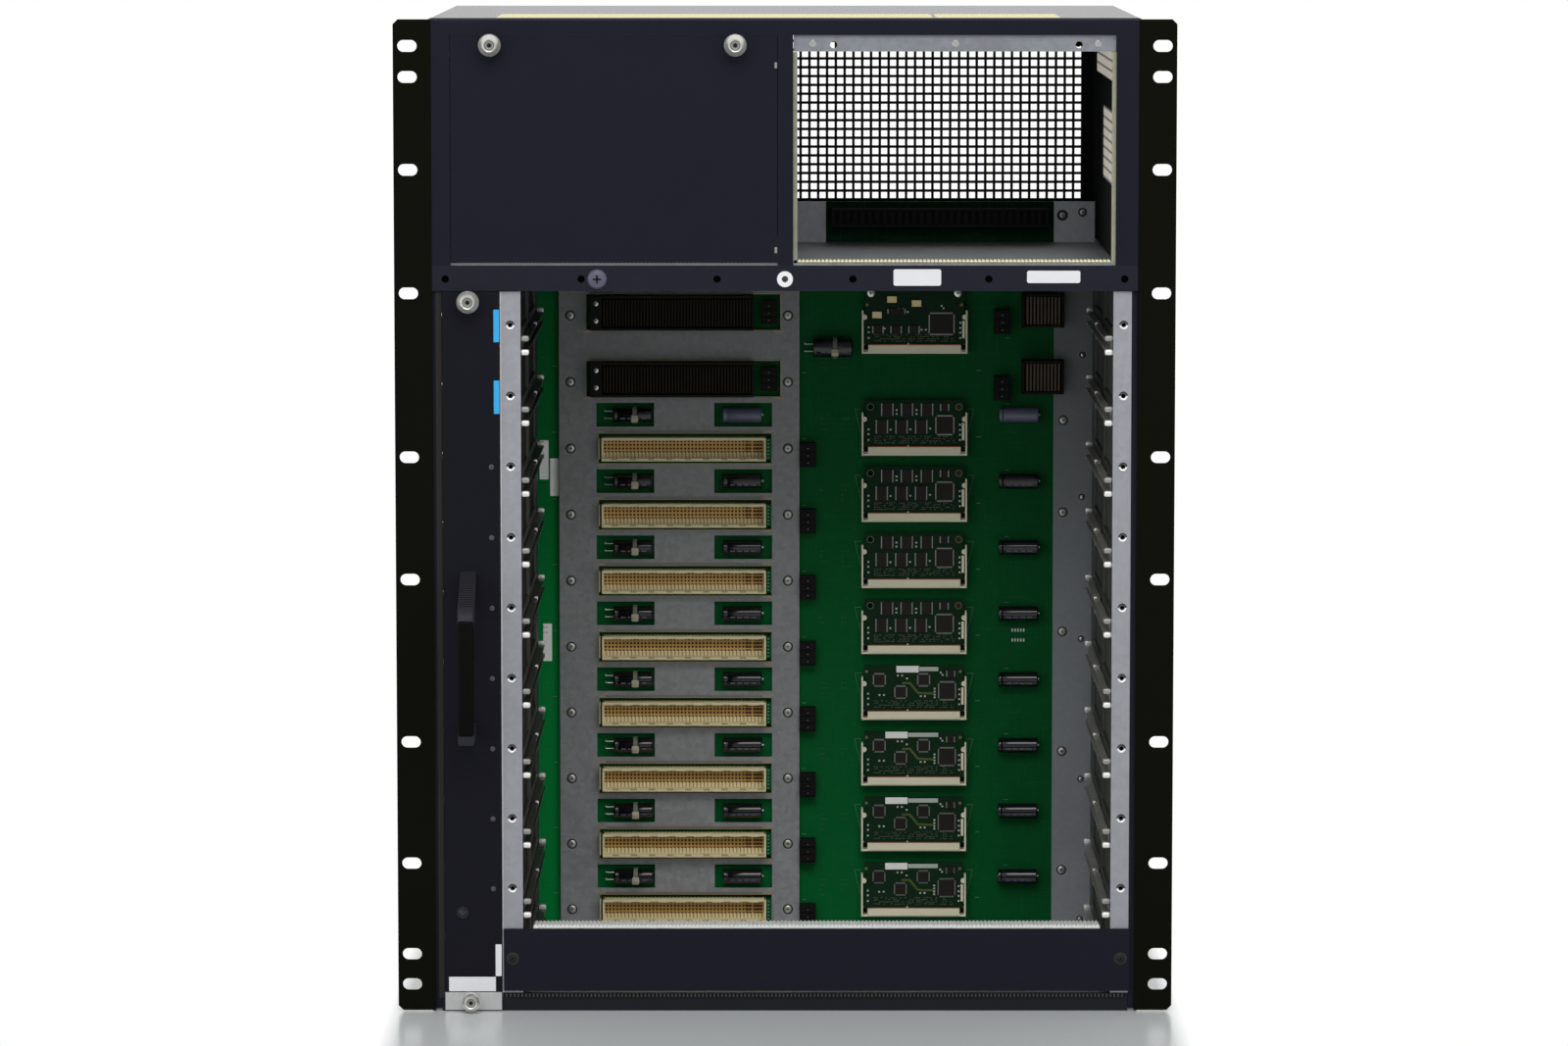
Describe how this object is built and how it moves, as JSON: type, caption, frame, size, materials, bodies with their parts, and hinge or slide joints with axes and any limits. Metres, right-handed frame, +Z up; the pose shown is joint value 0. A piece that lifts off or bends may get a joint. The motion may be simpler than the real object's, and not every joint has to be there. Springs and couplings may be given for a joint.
{
  "type": "modular chassis switch",
  "caption": "Open rack chassis with two power bays, card slots with guides and a connector backplane, a pull-out fan tray and blank panels.",
  "frame": {"origin": "on the underside, under the middle of the bounding box", "axes": "+X to the right seen from the front, +Y from the front to the back, +Z up"},
  "size_m": [0.4826, 0.355, 0.6185],
  "materials": {
    "zinc_sheet": "zinc-plated sheet",
    "bright_zinc": "bright zinc-plated sheet",
    "stiffener_steel": "dull zinc-plated plate",
    "painted_steel": "dark satin powder coat",
    "black_steel": "black satin coat",
    "steel_screw": "plated steel",
    "contact_strip": "plated contact fingers",
    "board": "green solder mask",
    "black_plastic": "moulded black",
    "cream_plastic": "moulded cream",
    "black_sleeve": "shrink sleeve"
  },
  "bodies": {
    "chassis": {"backplane_board": "board", "backplane_stiffener": "stiffener_steel", "bay_divider": "zinc_sheet", "bay_shelf": "zinc_sheet", "bay_strips": "bright_zinc", "bay_wall_left": "zinc_sheet", "bay_wall_right": "zinc_sheet", "bottom_pan": "zinc_sheet", "bulk_capacitors": "black_sleeve", "cage_wall_left": "bright_zinc", "cage_wall_right": "bright_zinc", "card_guides_left": "bright_zinc", "card_guides_right": "bright_zinc", "clock_module": "board", "contact_strips": "contact_strip", "crossbar": "painted_steel", "esd_jack": "steel_screw", "fan_tray_socket": "black_plastic", "front_frame": "painted_steel", "line_card_connectors": "cream_plastic", "lower_slot_modules": "board", "module_sockets": "cream_plastic", "power_blocks": "black_plastic", "power_board_left": "board", "power_board_right": "board", "power_brackets": "zinc_sheet", "power_connector_left": "black_plastic", "power_connector_right": "black_plastic", "rack_ear_left": "black_steel", "rack_ear_right": "black_steel", "rear_panel": "zinc_sheet", "redundancy_connectors": "black_plastic", "side_wall_left": "zinc_sheet", "side_wall_right": "zinc_sheet", "supervisor_connectors": "black_plastic", "top_cover": "zinc_sheet", "tray_rails": "zinc_sheet", "upper_slot_modules": "board"},
    "fan_tray": {"fan_tray_panel": "painted_steel", "fan_tray_frame": "bright_zinc", "fan_tray_handle": "black_plastic", "fan_tray_plug": "black_plastic", "fan_housings": "black_plastic"},
    "tray_knob_top": {"tray_thumbscrew_top": "steel_screw"},
    "tray_knob_bottom": {"tray_thumbscrew_bottom": "steel_screw"},
    "cover": {"bay_cover": "painted_steel"},
    "cover_knob_left": {"cover_thumbscrew_left": "steel_screw"},
    "cover_knob_right": {"cover_thumbscrew_right": "steel_screw"},
    "blank": {"slot_blank": "painted_steel", "blank_gasket": "contact_strip"},
    "fan_1": {"fan_rotor_1": "black_plastic"},
    "fan_2": {"fan_rotor_2": "black_plastic"},
    "fan_3": {"fan_rotor_3": "black_plastic"},
    "fan_4": {"fan_rotor_4": "black_plastic"},
    "fan_5": {"fan_rotor_5": "black_plastic"},
    "fan_6": {"fan_rotor_6": "black_plastic"}
  },
  "joints": [
    {"name": "fan_tray_slide", "type": "slide", "parent": "chassis", "child": "fan_tray", "axis": [0, -1, 0], "range_m": [0, 0.3]},
    {"name": "bay_cover_slide", "type": "slide", "parent": "chassis", "child": "cover", "axis": [0, -1, 0], "range_m": [0, 0.06]},
    {"name": "slot_blank_slide", "type": "slide", "parent": "chassis", "child": "blank", "axis": [0, -1, 0], "range_m": [0, 0.06]},
    {"name": "tray_knob_top_turn", "type": "hinge", "parent": "fan_tray", "child": "tray_knob_top", "pos_m": [-0.1956, -0.1395, 0.444], "axis": [0, 1, 0], "continuous": true},
    {"name": "tray_knob_bottom_turn", "type": "hinge", "parent": "fan_tray", "child": "tray_knob_bottom", "pos_m": [-0.1956, -0.1395, 0.007], "axis": [0, 1, 0], "continuous": true},
    {"name": "cover_knob_left_turn", "type": "hinge", "parent": "cover", "child": "cover_knob_left", "pos_m": [-0.1815, -0.1395, 0.602], "axis": [0, 1, 0], "continuous": true},
    {"name": "cover_knob_right_turn", "type": "hinge", "parent": "cover", "child": "cover_knob_right", "pos_m": [-0.0305, -0.1395, 0.602], "axis": [0, 1, 0], "continuous": true},
    {"name": "fan_1_spin", "type": "hinge", "parent": "fan_tray", "child": "fan_1", "pos_m": [-0.1957, -0.05817, 0.0875], "axis": [1, 0, 0], "continuous": true},
    {"name": "fan_2_spin", "type": "hinge", "parent": "fan_tray", "child": "fan_2", "pos_m": [-0.1957, 0.08117, 0.0875], "axis": [1, 0, 0], "continuous": true},
    {"name": "fan_3_spin", "type": "hinge", "parent": "fan_tray", "child": "fan_3", "pos_m": [-0.1957, -0.05817, 0.2275], "axis": [1, 0, 0], "continuous": true},
    {"name": "fan_4_spin", "type": "hinge", "parent": "fan_tray", "child": "fan_4", "pos_m": [-0.1957, 0.08117, 0.2275], "axis": [1, 0, 0], "continuous": true},
    {"name": "fan_5_spin", "type": "hinge", "parent": "fan_tray", "child": "fan_5", "pos_m": [-0.1957, -0.05817, 0.3675], "axis": [1, 0, 0], "continuous": true},
    {"name": "fan_6_spin", "type": "hinge", "parent": "fan_tray", "child": "fan_6", "pos_m": [-0.1957, 0.08117, 0.3675], "axis": [1, 0, 0], "continuous": true}
  ]
}
